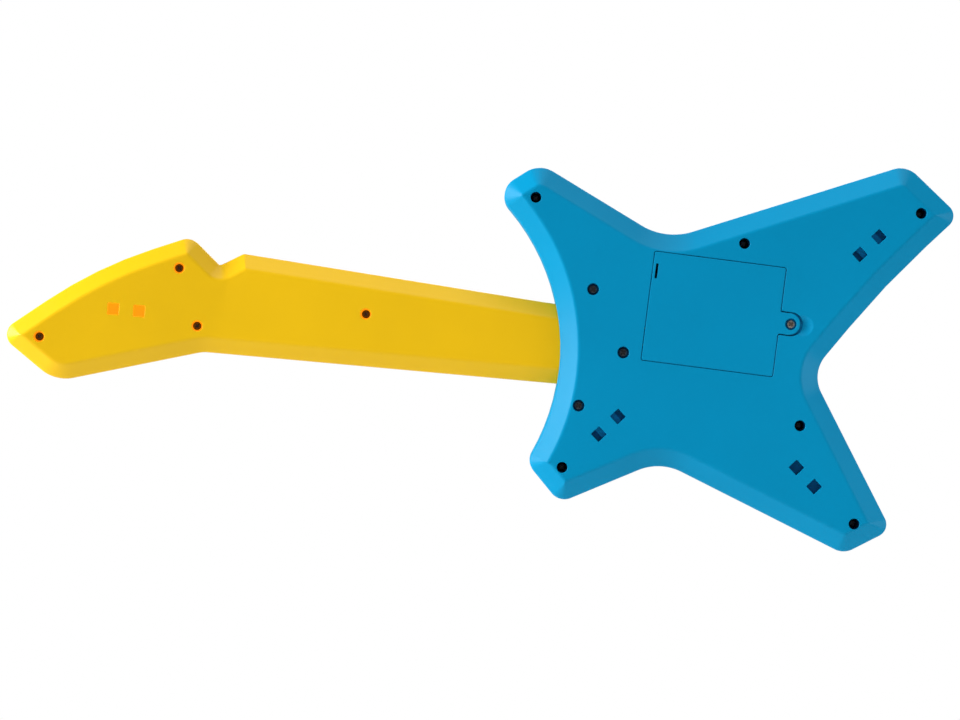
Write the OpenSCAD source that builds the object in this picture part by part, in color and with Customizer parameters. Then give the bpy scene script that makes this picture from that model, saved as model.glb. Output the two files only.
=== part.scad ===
// Toy electric guitar: star-shaped body, tapered neck and headstock.
// Frame: +X from the headstock to the tail, +Z up, the flat back looks to -Y, the playing side to +Y.
// The origin lies on the flat back face, on the neck's centreline, in the middle of the neck joint.

/* [Body] */
// Depth of the body from its flat back to its front face
body_depth = 40; // [38:1:44]
// Distance from the back face to the plane where the two casings meet
part_y = 21; // [21:0.5:22]
// Wall of the body casings
body_wall = 2.4; // [2:0.1:2.6]
// Width of the bevel round the back of the body
back_bevel_w = 9.6; // [8:0.2:10]
// Depth of the bevel round the back of the body
back_bevel_d = 8.6; // [7:0.2:9]
// Width and depth of the bevel round the front of the body
front_bevel = 5; // [3:0.5:6]

/* [Neck] */
// Distance from the body's back face to the neck's back face
neck_back = 9.6; // [9.2:0.2:10]
// Distance from the body's back face to the fretboard's face
neck_front = 31.6; // [31:0.2:32]
// Wall of the neck casings
neck_wall = 2.2; // [1.8:0.1:2.4]
// Width of the bevel round the back of the neck and headstock
neck_bevel_w = 8; // [6:0.2:8.4]
// Depth of the bevel round the back of the neck and headstock
neck_bevel_d = 6.6; // [5:0.2:7]
// Width and depth of the bevel round the fretboard
fret_bevel = 3; // [2:0.5:4]
// Angle by which the headstock leans to the back
head_tilt = 3.5; // [0:0.5:4]

/* [Battery compartment] */
// Length of the battery door along the neck's direction, without its tab
door_w = 72; // [70:0.5:73]
// Height of the battery door
door_h = 59.7; // [58:0.1:60]
// Gap all round the battery door
door_gap = 0.25; // [0.2:0.05:0.35]
// Radius of the round end of the door's screw tab
tab_r = 6.5; // [6:0.1:7]
// Diameter of a cell
cell_d = 14.5; // [14:0.1:14.5]
// Length of a cell with its button
cell_l = 50.5; // [49:0.1:50.5]

/* [Controls] */
// Travel of the fret and effect buttons
button_travel = 1.5; // [1:0.1:1.5]
// Length of a fret button along the neck
fret_w = 14; // [12:0.5:16]
// Height of a fret button across the neck
fret_h = 24; // [20:0.5:26]
// Radius of an effect button's cap
effect_r = 7; // [6:0.1:7.2]
// Length of the strum bar across the strings
strum_l = 40; // [34:1:42]
// Radius of the speaker
speaker_r = 20; // [18:0.5:21]

/* [Fasteners] */
// Radius of the deep holes over the casing screws
deep_r = 2.95; // [2.8:0.05:3.2]
// Radius of the shallow holes over the neck joint screws
shallow_r = 3.2; // [3:0.05:3.3]
// Radius of the casing screws' shank
shank_r = 1.4; // [1.2:0.05:1.5]
// Radius of the casing screws' head
head_r = 2.5; // [2.2:0.05:2.6]

/* [Hidden] */

$fn = 32;
eps = 0.05;

// Colours
blue = [0.0, 0.53, 0.72];
yellow = [0.93, 0.76, 0.05];
steel = [0.45, 0.46, 0.48];
board = [0.05, 0.35, 0.16];
black = [0.08, 0.08, 0.09];
white = [0.93, 0.93, 0.9];
silicone = [0.72, 0.74, 0.75];

// Corners of the body seen from the back: x, z and the radius that rounds the corner.
body_corners = [[-1.4, 14.2, 115.3], [-34.9, -65.6, 9], [-14.4, -85.1, 9], [36.8, -55.8, 28],
    [141.8, -93, 11], [165.5, -76.9, 7], [112, 2, 18], [145.4, 54.2, 480], [180.7, 96.5, 7],
    [148.9, 120.3, 13], [24.6, 63.4, 34], [-48.3, 96, 14], [-70.6, 77.8, 10.5]];

// Corners of the neck and headstock. The tongue at the right-hand end lies inside the body.
tongue_x = 20;
head_x = -208;
neck_corners = [[-327.6, -32.7, 7.5], [-293.5, -54.7, 21], [-216.2, -28.6, 20], [tongue_x, -19.7, 2],
    [tongue_x, 20, 2], [-201.5, 27.1, 4], [-213, 19.1, 1.8], [-230.4, 32.7, 9], [-279.4, 9.5, 230]];

// Screw places: x, z
body_screw_at = [[-48.1, 77.1], [66.8, 66.7], [159.3, 94.9], [-15.6, -65.7], [108.9, -27.1],
    [144.6, -76]];
joint_screw_at = [[-11.2, 31.8], [9.3, 0], [-11, -31.5]];
head_screw_at = [[-305.1, -31.5], [-234.8, 14.9], [-221.2, -15]];
neck_screw_at = [-131.5, 3];

// Tie-down pockets come in pairs: the centre of the pair, and the direction from one to the other.
pocket_side = 6.1;
pocket_pitch = 14;
pocket_deep = 7;
heel_y = 12;
body_pockets = [[133.8, 74.1, 50], [6.3, -40, 50], [115.3, -54.2, -40]];
head_pocket = [-260.3, -11.3, 2.5];

// Battery compartment
door_x = 19.05;
door_z = -3;
screw_x = 97.1;
screw_z = 26.6;
door_t = 2.2;
cup_r = 5.2;
boss_y = 8.3;
door_screw_r = 1.45;
hook_at = [10, 36];
hook_r = 4.4;
lip_r = 2.8;
cell_pitch = 15.6;
cell_y = 11;
cell_x = 30;
tray_x = [23.5, 87.5];
tray_z = [1.4, 52.4];
tray_back = 2.5;
tray_floor = 20.8;
tray_wall = 1.5;

// Depth planes in the body
front_in = body_depth - body_wall;
tower_r = 4.6;
tower_top = 19.6;
boss_r = 3.6;
recess_y = 14.5;
body_screw_l = 16;
joint_tower_r = 5.2;
joint_recess_y = 3.2;
joint_screw_l = 14;
housing_wall = 1.4;
tunnel_y = 4;
slit_at = [21.5, 46];
slit_size = [1.2, 7.8];
pcb_y = 24;
pcb_t = 1.6;

// Front controls
strum_x = 46;
strum_axis_y = 33;
whammy_at = [88, -14];
whammy_r = 3;
whammy_end = [50, -38];
speaker_at = [112, 66];
effect_at = [113, -52];
effect_pitch = 22;
effect_dir = -39.5;
effect_dome_y = 30;
power_at = [14, -48];
power_travel = 8;
lens_at = [-26, 66];
pcb_post_at = [[32, -40], [76, -40], [32, 16], [76, 16]];

// Neck controls
fret_at = [-181.5, -156.5, -106.5, -81.5, -56.5];
tuner_at = [[-292, -20], [-266, 0], [-276, -38], [-248, -26]];
neck_tower_r = 4.4;
neck_tower_top = 20.4;
neck_boss_r = 3.4;
neck_recess_y = 18.3;
neck_screw_l = 8.5;
neck_in = neck_front - neck_wall;
neck_pcb_y = 22.6;
fret_dome_y = neck_pcb_y + 2.3;

// ---- Outline functions: points run anticlockwise as the back is seen ----
function unit(v) = v / norm(v);
function left(v) = [-v[1], v[0]];
function flat(list) = [for (part = list) each part];
function turned(v, a) = [v[0] * cos(a) - v[1] * sin(a), v[0] * sin(a) + v[1] * cos(a)];

// One corner, moved inwards by d and rounded, as a run of points
function corner(a, b, c, d) =
    let (e1 = unit([b[0] - a[0], b[1] - a[1]]),
        e2 = unit([c[0] - b[0], c[1] - b[1]]),
        n1 = left(e1),
        n2 = left(e2),
        phi = atan2(cross(e1, e2), e1 * e2),
        s = sign(phi),
        r = max(0.5, b[2] - s * d),
        v = [b[0], b[1]] + d * (n1 + n2) / (1 + n1 * n2),
        centre = v - e1 * r * tan(abs(phi) / 2) + n1 * r * s,
        steps = max(2, ceil(abs(phi) / 8)))
    [for (k = [0:steps]) centre + turned(-n1 * r * s, phi * k / steps)];

function outline(corners, d) =
    let (n = len(corners))
    flat([for (i = [0:n - 1]) corner(corners[(i + n - 1) % n], corners[i], corners[(i + 1) % n], d)]);

// Profile extruded from one depth to another
module slab(y0, y1) {
    translate([0, y1, 0]) rotate([90, 0, 0]) linear_extrude(y1 - y0) children();
}

// Round rod along the depth
module rod(x, z, y0, y1, r) {
    translate([x, y1, z]) rotate([90, 0, 0]) cylinder(h = y1 - y0, r = r);
}

// Block from its two opposite corners
module block(a, b) {
    translate(a) cube(b - a);
}

// Ring that follows an outline; its profile is a list of [inset, depth]
module ring(corners, profile) {
    rings = [for (p = profile) [for (q = outline(corners, p[0])) [q[0], q[1], -p[1]]]];
    n = len(rings[0]);
    m = len(profile);
    rotate([90, 0, 0])
        polyhedron(points = flat(rings),
            faces = [for (j = [0:m - 1]) for (i = [0:n - 1])
                [j * n + i, ((j + 1) % m) * n + i, ((j + 1) % m) * n + (i + 1) % n, j * n + (i + 1) % n]],
            convexity = 8);
}

// Plate with a bevelled face at face_y and square edges at open_y.
// The cutter's profile has a point on each edge of the bevel.
module bevelled(corners, d, face_y, open_y, w, t) {
    s = sign(open_y - face_y);
    k = t / w;
    cutter = [[d + w + 1, face_y - s * k], [d + w, face_y], [d, face_y + s * t],
        [d - 1, face_y + s * (t + k)], [d - 1, face_y - s * k]];
    difference() {
        slab(min(face_y, open_y), max(face_y, open_y)) polygon(outline(corners, d));
        ring(corners, s > 0 ? cutter : [for (i = [len(cutter) - 1:-1:0]) cutter[i]]);
    }
}

// Space inside a casing half, which leaves an even wall
module casing_space(corners, face_y, open_y, wall, w, t) {
    s = sign(open_y - face_y);
    slope = norm([w, t]);
    in_w = w + wall * (slope - w) / t - wall;
    in_t = t + wall * (slope - t) / w - wall;
    bevelled(corners, wall, face_y + s * wall, open_y + s, in_w, in_t);
}

// Body casing half: a bevelled plate hollowed to an even wall
module body_casing(face_y, w, t) {
    difference() {
        bevelled(body_corners, 0, face_y, part_y, w, t);
        casing_space(body_corners, face_y, part_y, body_wall, w, t);
    }
}

// Casing half of the neck and the headstock
module neck_casing(face_y, w, t) {
    difference() {
        neck_and_head() bevelled(neck_corners, 0, face_y, part_y, w, t);
        neck_and_head() casing_space(neck_corners, face_y, part_y, neck_wall, w, t);
    }
}

// Cutter that leaves one side of a plane x = at
module beyond(at, side) {
    translate([side > 0 ? at : at - 400, -50, -200]) cube([400, 150, 400]);
}

// The headstock leans back about the line where it joins the neck
module leaning() {
    translate([head_x, neck_back, 0]) rotate([0, 0, head_tilt]) translate([-head_x, -neck_back, 0])
        children();
}

// Neck and headstock made with the same child, the headstock's copy leaning back
module neck_and_head() {
    intersection() {
        children();
        beyond(head_x - 2, 1);
    }
    leaning() intersection() {
        children();
        beyond(head_x + 1.5, -1);
    }
}

// Pan-head screw that points to +Y with a cross recess; its head starts at y
module screw(x, z, y, head, head_h, shank, length) {
    difference() {
        union() {
            rod(x, z, y, y + head_h, head);
            rod(x, z, y + head_h - eps, y + head_h + length, shank);
        }
        for (a = [45, 135])
            translate([x, y, z]) rotate([0, a, 0]) cube([head * 1.3, 1.8, 0.6], center = true);
    }
}

// Rounded rectangle centred at a point
module pad_shape(x, z, w, h, r) {
    translate([x, z]) union() {
        square([w - 2 * r, h], center = true);
        square([w, h - 2 * r], center = true);
        for (sx = [-1, 1]) for (sz = [-1, 1])
            translate([sx * (w / 2 - r), sz * (h / 2 - r)]) circle(r = r);
    }
}

// Pair of square tie-down pockets, joined behind their bridge
module pocket_pair(p, grow, y0, y1) {
    for (s = [-1, 1])
        translate([p[0], 0, p[1]]) rotate([0, -p[2], 0])
            block([s * pocket_pitch / 2 - pocket_side / 2 - grow, y0, -pocket_side / 2 - grow],
                [s * pocket_pitch / 2 + pocket_side / 2 + grow, y1, pocket_side / 2 + grow]);
}

module pocket_tunnel(p, grow, y0, y1) {
    translate([p[0], 0, p[1]]) rotate([0, -p[2], 0])
        block([-pocket_pitch / 2 - grow, y0, -pocket_side / 2 - grow],
            [pocket_pitch / 2 + grow, y1, pocket_side / 2 + grow]);
}

module pocket_housing(p, y0, y1) {
    pocket_pair(p, housing_wall, y0, y1);
    pocket_tunnel(p, housing_wall, y0, y1);
}

module pocket_hollow(p, y0, y1) {
    pocket_pair(p, 0, y0, y1);
    pocket_tunnel(p, 0, y0 + 1 + tunnel_y, y1);
}

// Swept tube of n sides along a list of points, none of its runs along the reference direction
module tube(points, r, n, ref) {
    last = len(points) - 1;
    rings = [for (i = [0:last])
        let (d = unit(points[min(i + 1, last)] - points[max(i - 1, 0)]),
            a = unit(cross(d, ref)),
            b = cross(d, a))
        [for (k = [0:n - 1]) points[i] + r * (a * cos(360 * k / n) + b * sin(360 * k / n))]];
    sides = [for (i = [0:last - 1]) for (k = [0:n - 1])
        [i * n + k, (i + 1) * n + k, (i + 1) * n + (k + 1) % n, i * n + (k + 1) % n]];
    ends = [[for (k = [0:n - 1]) k], [for (k = [n - 1:-1:0]) last * n + k]];
    polyhedron(points = flat(rings), faces = concat(sides, ends), convexity = 6);
}

// Points of a coil about the X axis whose radius runs from r0 to r1
function coil(at, length, r0, r1, turns, steps) =
    [for (i = [0:turns * steps])
        let (f = i / (turns * steps), r = r0 + (r1 - r0) * f, a = 360 * i / steps)
        at + [length * f, r * cos(a), r * sin(a)]];

// ---- Body casings ----
// Door opening in the back, moved inwards by d: the rectangle and the tab
module door_shape(d) {
    translate([door_x + d, door_z + d]) square([door_w - 2 * d, door_h - 2 * d]);
    translate([door_x + door_w - 2, screw_z - tab_r + d])
        square([screw_x - door_x - door_w + 2, 2 * tab_r - 2 * d]);
    translate([screw_x, screw_z]) circle(r = tab_r - d);
}

// Space that the neck fills where it enters the body
module neck_space(gap) {
    bevelled(neck_corners, -gap, neck_back - gap, part_y + 2, neck_bevel_w, neck_bevel_d);
    bevelled(neck_corners, -gap, neck_front + gap, part_y - 2, fret_bevel, fret_bevel);
}

// Shallow scoop beyond the tab's round end, where a fingertip lifts the door
module finger_scoop() {
    translate([screw_x + tab_r, -16.4, screw_z]) sphere(r = 17.3, $fn = 64);
}

module body_back_shell() {
    color(blue) difference() {
        union() {
            body_casing(0, back_bevel_w, back_bevel_d);
            for (p = body_screw_at) rod(p[0], p[1], 1, tower_top, tower_r);
            for (p = joint_screw_at)
                rod(p[0], p[1], 1, p == joint_screw_at[1] ? neck_back - 0.3 : heel_y - 0.2, joint_tower_r);
            for (p = body_pockets) pocket_housing(p, 1, pocket_deep + housing_wall);
        }
        slab(-1, body_wall + 0.1) door_shape(0);
        finger_scoop();
        for (p = body_screw_at) {
            rod(p[0], p[1], -1, recess_y, deep_r);
            rod(p[0], p[1], -1, tower_top + 1, shank_r + 0.3);
        }
        for (p = joint_screw_at) {
            rod(p[0], p[1], -1, joint_recess_y, shallow_r);
            rod(p[0], p[1], -1, heel_y + 0.5, shank_r + 0.3);
        }
        for (p = body_pockets) pocket_hollow(p, -1, pocket_deep);
        neck_space(0.25);
    }
}

module body_front_shell() {
    color(blue) difference() {
        union() {
            body_casing(body_depth, front_bevel, front_bevel);
            for (p = body_screw_at) rod(p[0], p[1], tower_top + 0.2, front_in + 1, boss_r);
            for (p = pcb_post_at) rod(p[0], p[1], pcb_y + pcb_t, front_in + 1, 2.8);
            for (s = [-1, 1]) {
                block([strum_x + s * 9.5 - 1.5, 29.5, -5], [strum_x + s * 9.5 + 1.5, front_in + 1, 5]);
                effect_place(s * effect_pitch / 2) rod(0, 8.5, 28.6, front_in + 1, 2.2);
            }
            rod(whammy_at[0], whammy_at[1], 35, front_in + 1, 6);
        }
        for (p = body_screw_at) rod(p[0], p[1], tower_top - 1, 34, shank_r + 0.02);
        for (p = pcb_post_at) rod(p[0], p[1], pcb_y, 34, 1.22);
        for (s = [-1, 1]) effect_place(s * effect_pitch / 2) rod(0, 8.5, 28, 34, 1.02);
        slab(front_in - 4, body_depth + 1) pad_shape(strum_x, 0, 15, strum_l + 6, 1.5);
        translate([strum_x - 15, strum_axis_y, 0]) rotate([0, 90, 0]) cylinder(h = 30, r = 1.55);
        rod(speaker_at[0], speaker_at[1], front_in - 1, body_depth + 1, speaker_r - 2);
        for (k = [-1:1]) effect_place(k * effect_pitch) rod(0, 0, 30, body_depth + 1, effect_r + 0.3);
        slab(30, body_depth + 1) pad_shape(power_at[0], power_at[1], 14, 4.6, 1);
        rod(lens_at[0], lens_at[1], 30, body_depth + 1, 5.1);
        rod(whammy_at[0], whammy_at[1], 30, body_depth + 1, whammy_r + 0.05);
        neck_space(0.25);
    }
}

// Places a child on the line of effect buttons, at a distance along it
module effect_place(along) {
    translate([effect_at[0], 0, effect_at[1]]) rotate([0, -effect_dir, 0]) translate([along, 0, 0])
        children();
}

// ---- Neck casings ----
module neck_back_shell() {
    color(yellow) difference() {
        union() {
            neck_casing(neck_back, neck_bevel_w, neck_bevel_d);
            rod(neck_screw_at[0], neck_screw_at[1], neck_back + 1, neck_tower_top, neck_tower_r);
            leaning() {
                for (p = head_screw_at) rod(p[0], p[1], neck_back + 1, neck_tower_top, neck_tower_r);
                pocket_housing(head_pocket, neck_back + 1, neck_back + pocket_deep + housing_wall);
            }
            slab(heel_y, 20) heel_shape();
            rod(joint_screw_at[1][0], joint_screw_at[1][1], neck_back + 1, 20, 4.5);
        }
        rod(neck_screw_at[0], neck_screw_at[1], neck_back - 1, neck_recess_y, deep_r);
        rod(neck_screw_at[0], neck_screw_at[1], neck_back - 1, 22, shank_r + 0.3);
        leaning() {
            for (p = head_screw_at) {
                rod(p[0], p[1], neck_back - 1, neck_recess_y, deep_r);
                rod(p[0], p[1], neck_back - 1, 22, shank_r + 0.3);
            }
            pocket_hollow(head_pocket, neck_back - 1, neck_back + pocket_deep);
        }
        for (p = joint_screw_at) rod(p[0], p[1], neck_back - 1, 19, shank_r + 0.02);
    }
}

// Cross bar of the neck's heel, inside the body, that takes the outer joint screws
module heel_shape() {
    translate([-17, joint_screw_at[2][1]]) square([12, joint_screw_at[0][1] - joint_screw_at[2][1]]);
    for (p = [joint_screw_at[0], joint_screw_at[2]]) translate([-11, p[1]]) circle(r = 6);
}

module neck_front_shell() {
    color(yellow) difference() {
        union() {
            neck_casing(neck_front, fret_bevel, fret_bevel);
            rod(neck_screw_at[0], neck_screw_at[1], neck_tower_top + 0.2, neck_in + 1, neck_boss_r);
            leaning() for (p = head_screw_at) rod(p[0], p[1], neck_tower_top + 0.2, neck_in + 1, neck_boss_r);
        }
        rod(neck_screw_at[0], neck_screw_at[1], 20, 28.6, shank_r + 0.02);
        leaning() for (p = head_screw_at) rod(p[0], p[1], 20, 28.6, shank_r + 0.02);
        leaning() for (p = tuner_at) rod(p[0], p[1], neck_in - 1, neck_front + 1, 2.1);
        for (x = fret_at) slab(neck_in - 1, neck_front + 1) pad_shape(x, 0, fret_w + 0.6, fret_h + 0.6, 2.3);
        block([-60, part_y - 1, -12], [tongue_x + 1, 25.6, 12]);
    }
}

// ---- Battery compartment ----
module battery_door() {
    color(blue) difference() {
        union() {
            slab(0, door_t) door_shape(door_gap);
            rod(screw_x, screw_z, door_t - eps, 4.2, 4.6);
            for (z = hook_at) door_hook(z);
        }
        rod(screw_x, screw_z, -1, 2, 3.1);
        rod(screw_x, screw_z, -1, 5, door_screw_r + 0.3);
        slab(-1, 3) door_slit(0);
    }
}

// Slit in the door, grown by a margin
module door_slit(grow) {
    translate(slit_at) square([slit_size[0] + 2 * grow, slit_size[1] + 2 * grow], center = true);
}

// Hook under the lip of the opening; its round faces share the axis that the door tips about
module door_hook(z) {
    difference() {
        translate([door_x, 0, z - 4]) cylinder(h = 8, r = hook_r, $fn = 64);
        translate([door_x, 0, z - 5]) cylinder(h = 10, r = lip_r, $fn = 64);
        block([door_x - 9, -9, z - 5], [door_x + 9, door_t - eps, z + 5]);
        block([door_x - 9, -9, z - 5], [door_x, lip_r - 0.1, z + 5]);
    }
}

module battery_door_screw() {
    color(steel) screw(screw_x, screw_z, 0.4, 2.3, 1.6, door_screw_r, 8.3);
}

module screw_retainer_ring() {
    color(black) difference() {
        rod(screw_x, screw_z, 7.3, 7.9, 2.9);
        rod(screw_x, screw_z, 7, 8, door_screw_r + 0.03);
    }
}

module battery_tray() {
    color(blue) difference() {
        union() {
            block([door_x - 4, tray_back, door_z - 3.5], [door_x + door_w + 3, 4, door_z + door_h - 0.7]);
            block([tray_x[0], tray_back, tray_z[0]], [tray_x[1], tray_floor, tray_z[1]]);
            rod(screw_x, screw_z, tray_back, 16, cup_r + 1.4);
        }
        block([tray_x[0] + tray_wall, 0, tray_z[0] + tray_wall],
            [tray_x[1] - tray_wall, tray_floor - tray_wall, tray_z[1] - tray_wall]);
        for (z = hook_at) block([door_x - 5, 0, z - 5], [tray_x[0] - 0.1, hook_r + 0.6, z + 5]);
        slab(tray_back - 1, 5) door_slit(0.5);
        rod(screw_x, screw_z, 0, boss_y, cup_r);
        rod(screw_x, screw_z, 0, 17, door_screw_r + 0.4);
    }
    for (i = [1:2]) cell_saddle((tray_z[0] + tray_z[1]) / 2 + (i - 1.5) * cell_pitch);
}

// Low rib between two cells
module cell_saddle(z) {
    color(blue) block([40, 16.5, z - 0.5], [70, tray_floor - tray_wall + eps, z + 0.5]);
}

// A cell lies along the neck's direction; its button is at the end that dir points to
module cell(row, dir) {
    z = (tray_z[0] + tray_z[1]) / 2 + row * cell_pitch;
    color(black) translate([cell_x + cell_l / 2, cell_y, z]) rotate([0, 90 * dir, 0])
        translate([0, 0, -cell_l / 2]) {
            cylinder(h = cell_l - 1.3, r = cell_d / 2, $fn = 48);
            cylinder(h = cell_l, r = 2.75);
        }
}

module aa_cell_upper() {
    cell(1, 1);
}

module aa_cell_middle() {
    cell(0, -1);
}

module aa_cell_lower() {
    cell(-1, 1);
}

module battery_springs() {
    for (row = [-1:1]) {
        z = (tray_z[0] + tray_z[1]) / 2 + row * cell_pitch;
        flip = row == 0 ? 1 : -1;
        x = flip > 0 ? cell_x + cell_l + 0.6 : cell_x - 0.6;
        color(steel) tube(coil([x, cell_y, z], flip * 3.6, 3, 5, 3, 12), 0.4, 6, [1, 0, 0]);
    }
}

module battery_plates() {
    for (row = [-1:1]) {
        z = (tray_z[0] + tray_z[1]) / 2 + row * cell_pitch;
        x = row == 0 ? tray_x[0] + tray_wall + 0.1 : tray_x[1] - tray_wall - 0.5;
        color(steel) block([x, cell_y - 5, z - 5], [x + 0.4, cell_y + 5, z + 5]);
    }
}

// ---- Screws ----
module body_screws() {
    color(steel) for (p = body_screw_at) screw(p[0], p[1], recess_y - 1.8, head_r, 1.8, shank_r, body_screw_l);
}

module neck_joint_screws() {
    color(steel) for (p = joint_screw_at)
        screw(p[0], p[1], joint_recess_y - 1.8, head_r + 0.2, 1.8, shank_r, joint_screw_l);
}

module neck_screws() {
    color(steel) {
        screw(neck_screw_at[0], neck_screw_at[1], neck_recess_y - 1.8, head_r, 1.8, shank_r, neck_screw_l);
        leaning() for (p = head_screw_at)
            screw(p[0], p[1], neck_recess_y - 1.8, head_r, 1.8, shank_r, neck_screw_l);
    }
}

module pcb_screws() {
    color(steel) for (p = pcb_post_at) screw(p[0], p[1], pcb_y - 1.4, 2.2, 1.4, 1.2, 8);
}

// ---- Electronics ----
module main_pcb() {
    color(board) difference() {
        block([28, pcb_y, -44], [80, pcb_y + pcb_t, 20]);
        for (p = pcb_post_at) rod(p[0], p[1], pcb_y - 1, pcb_y + 3, 1.35);
    }
}

module pcb_components() {
    top = pcb_y + pcb_t;
    color(black) {
        rod(62, -24, top, top + 1.8, 6);
        rod(70, 4, top, top + 8, 3.2);
        rod(62, 6, top, top + 6, 2.6);
        block([34, top, -34], [44, top + 2.2, -27]);
        for (i = [0:3]) block([52 + 4 * i, top, -38], [54 + 4 * i, top + 1.4, -34]);
    }
}

module effect_pcb() {
    color(board) effect_place(0) difference() {
        block([-31, 27.2, -9.8], [31, 28.4, 11]);
        for (s = [-1, 1]) rod(s * effect_pitch / 2, 8.5, 27, 29, 1.02);
    }
}

module effect_pad() {
    color(silicone) effect_place(0) union() {
        block([-29, 28.4, -6], [29, 29, 5.8]);
        for (k = [-1:1]) rod(k * effect_pitch, 0, 29 - eps, effect_dome_y, 3.4);
    }
}

module speaker_frame() {
    color(steel) translate([speaker_at[0], front_in - 0.1, speaker_at[1]]) rotate([90, 0, 0])
        rotate_extrude() polygon([[speaker_r - 3, 0], [speaker_r, 0], [speaker_r, 1.2],
            [speaker_r - 2, 1.2], [speaker_r - 6, 7], [4, 7], [4, 6], [speaker_r - 6.6, 6],
            [speaker_r - 3, 1.2]]);
}

module speaker_cone() {
    color(black) translate([speaker_at[0], front_in - 0.3, speaker_at[1]]) rotate([90, 0, 0])
        rotate_extrude() polygon([[0, 3.4], [5, 4], [speaker_r - 6, 1.4], [speaker_r - 3.3, 0.8],
            [speaker_r - 3.3, 1.3], [speaker_r - 6, 2], [5, 4.8], [0, 4.2]]);
}

module speaker_magnet() {
    color(steel) rod(speaker_at[0], speaker_at[1], front_in - 14, front_in - 7.1, 10);
}

module speaker_grille() {
    color(yellow) difference() {
        union() {
            rod(speaker_at[0], speaker_at[1], body_depth, body_depth + 1.6, speaker_r + 1.5);
            rod(speaker_at[0], speaker_at[1], front_in + 0.2, body_depth + 0.5, speaker_r - 2.1);
        }
        for (i = [-3:3]) {
            half = sqrt(pow(speaker_r - 5, 2) - pow(i * 4.6, 2));
            slab(front_in - 1, body_depth + 3)
                pad_shape(speaker_at[0], speaker_at[1] + i * 4.6, 2 * half, 2.4, 1.1);
        }
    }
}

module light_lens() {
    color(white) {
        rod(lens_at[0], lens_at[1], front_in - 1.2, body_depth + 1.4, 5);
        rod(lens_at[0], lens_at[1], front_in - 1.2, front_in - 0.1, 6.4);
    }
}

module light_led() {
    color(white) {
        rod(lens_at[0], lens_at[1], 29, 35, 2.5);
        for (s = [-1, 1]) rod(lens_at[0] + s * 1.27, lens_at[1], 24, 29.5, 0.3);
    }
}

// ---- Front controls ----
module strum_bar() {
    color(yellow) difference() {
        union() {
            slab(36.5, 44) pad_shape(strum_x, 0, 12.4, strum_l, 3);
            slab(43.9, 45.5) pad_shape(strum_x, 0, 8, strum_l - 5, 3);
            translate([strum_x - 5.5, strum_axis_y, 0]) rotate([0, 90, 0]) cylinder(h = 11, r = 3.4);
            block([strum_x - 5.5, strum_axis_y, -3], [strum_x + 5.5, 37, 3]);
            for (s = [-1, 1]) block([strum_x - 2, 32.4, s * 12 - 1.5], [strum_x + 2, 37, s * 12 + 1.5]);
        }
        translate([strum_x - 15, strum_axis_y, 0]) rotate([0, 90, 0]) cylinder(h = 30, r = 1.52);
    }
}

module strum_shaft() {
    color(steel) translate([strum_x - 12, strum_axis_y, 0]) rotate([0, 90, 0])
        cylinder(h = 24, r = 1.5);
}

module strum_spring() {
    color(steel) tube(coil([strum_x - 7.6, strum_axis_y, 0], 1.7, 2.4, 2.4, 3, 12), 0.25, 6, [1, 0, 0]);
}

module strum_switches() {
    top = pcb_y + pcb_t;
    color(black) for (s = [-1, 1]) {
        block([strum_x - 3, top, s * 12 - 3], [strum_x + 3, top + 3.4, s * 12 + 3]);
        rod(strum_x, s * 12, top + 3.3, top + 4.6, 1.6);
    }
}

// The lever's shaft turns in the casing; its arm lies along the front
module whammy_lever() {
    reach = norm(whammy_end - whammy_at);
    aim = atan2(whammy_end[1] - whammy_at[1], whammy_end[0] - whammy_at[0]);
    color(steel) difference() {
        translate([whammy_at[0], 0, whammy_at[1]]) rotate([0, -aim, 0]) union() {
            rod(0, 0, 31, 44, whammy_r);
            rod(0, 0, body_depth + 2, 47.5, 5.5);
            translate([0, 45.2, 0]) rotate([0, 90, 0]) cylinder(h = reach, r = 2);
            translate([reach - 12, 45.2, 0]) rotate([0, 90, 0]) cylinder(h = 14, r = 3.2);
            translate([reach + 2, 45.2, 0]) sphere(r = 3.2);
        }
        rod(whammy_at[0], whammy_at[1], 30, 39, 1.02);
    }
}

module whammy_screw() {
    color(steel) {
        screw(whammy_at[0], whammy_at[1], 28.2, 2.4, 1.6, 1, 6);
        difference() {
            rod(whammy_at[0], whammy_at[1], 29.9, 30.9, 5);
            rod(whammy_at[0], whammy_at[1], 29, 32, 1.05);
        }
    }
}

module whammy_spring() {
    color(steel) translate([whammy_at[0], 31.4, whammy_at[1]]) rotate([0, 0, 90])
        tube(coil([0, 0, 0], 3.1, 4.1, 4.1, 4, 12), 0.35, 6, [1, 0, 0]);
}

module effect_button(k) {
    color(yellow) effect_place(k * effect_pitch) union() {
        rod(0, 0, 36, body_depth + 2.6, effect_r);
        rod(0, 0, body_depth + 2.5, body_depth + 3.6, effect_r - 1.2);
        rod(0, 0, 36, front_in - 0.2, effect_r + 1.2);
        rod(0, 0, effect_dome_y + button_travel + 0.2, 36.1, 2.6);
    }
}

module effect_button_1() {
    effect_button(-1);
}

module effect_button_2() {
    effect_button(0);
}

module effect_button_3() {
    effect_button(1);
}

// The knob rests at the off end of its slot
module power_switch_knob() {
    x = power_at[0] - power_travel / 2;
    color(yellow) {
        slab(body_depth + 0.3, body_depth + 3.2) pad_shape(x, power_at[1], 8, 7, 1.5);
        slab(34, body_depth + 0.4) pad_shape(x, power_at[1], 5, 4, 0.5);
        block([x - 6, 35.6, power_at[1] - 4.2], [x + 6, front_in - 0.2, power_at[1] + 4.2]);
    }
}

module power_switch_body() {
    color(steel) block([power_at[0] - 10, 26, power_at[1] - 4], [power_at[0] + 10, 33.4, power_at[1] + 4]);
}

// ---- Trim on the front ----
guard_corners = [[-12, 34, 10], [-12, -34, 10], [30, -36, 16], [98, -22, 16], [100, 18, 12],
    [60, 44, 16]];

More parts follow.
